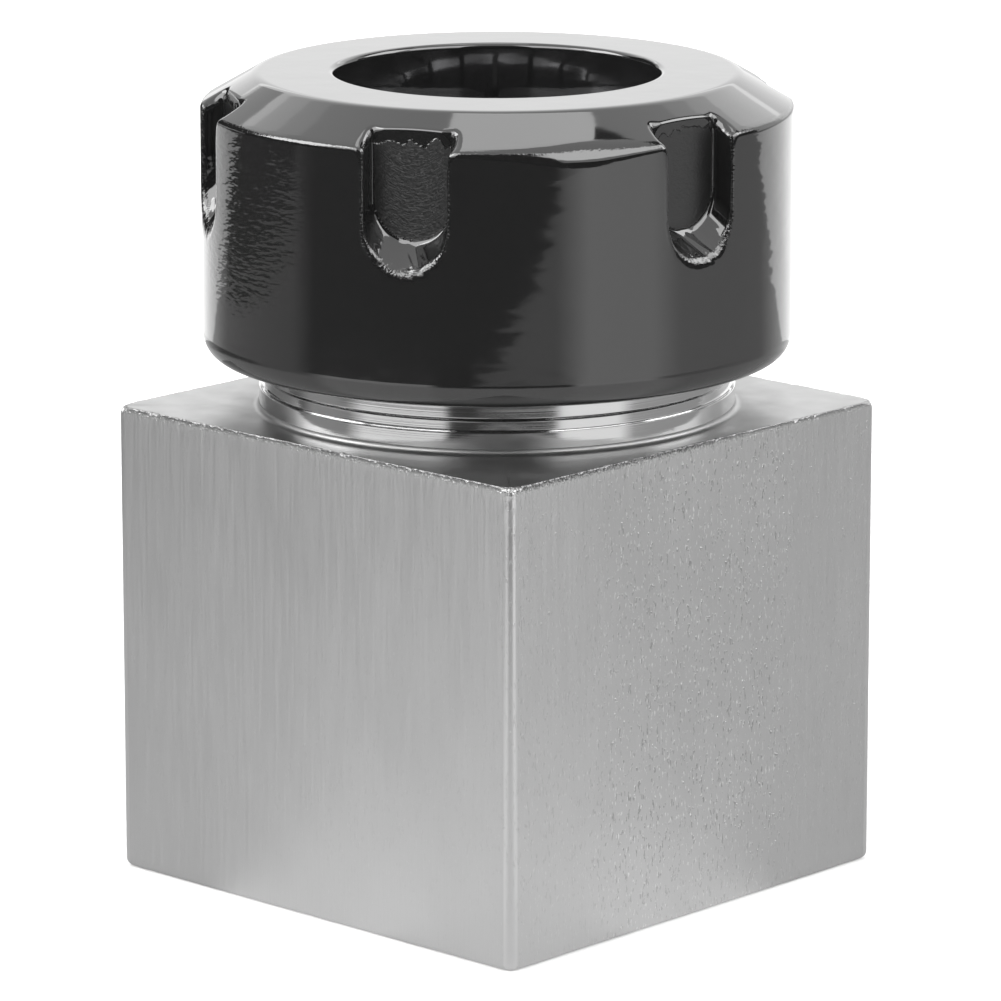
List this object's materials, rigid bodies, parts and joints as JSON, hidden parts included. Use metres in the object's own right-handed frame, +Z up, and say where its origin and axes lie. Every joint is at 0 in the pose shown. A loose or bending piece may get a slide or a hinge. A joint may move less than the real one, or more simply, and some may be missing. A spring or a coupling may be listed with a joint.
{
  "type": "square collet block",
  "caption": "Square steel collet block with a threaded nose, a slotted clamping nut and a slit spring collet, for holding round stock in a vice.",
  "frame": {"origin": "centre of the underside of the square block", "axes": "+Z up along the collet's bore, towards the nut; X and Y square to the block's sides"},
  "size_m": [0.0493, 0.0492, 0.0683],
  "materials": {
    "ground_steel": "ground faces with a fine vertical grain, bright turned neck",
    "collet_steel": "hardened spring steel, finely ground",
    "black_nut": "glossy black finish over rough turned steel"
  },
  "bodies": {
    "block": {"collet_block": "ground_steel"},
    "collet": {"spring_collet": "collet_steel"},
    "nut": {"clamping_nut": "black_nut"}
  },
  "joints": [
    {"name": "collet_draw", "type": "slide", "parent": "block", "child": "collet", "axis": [0, 0, 1], "range_m": [0, 0.00525]},
    {"name": "nut_turn", "type": "hinge", "parent": "collet", "child": "nut", "pos_m": [0, 0, 0], "axis": [0, 0, 1], "range_deg": [0, 1260]}
  ],
  "couplings": [
    {"joint": "collet_draw", "follows": "nut_turn", "m_per_rad": 0.00023873}
  ]
}
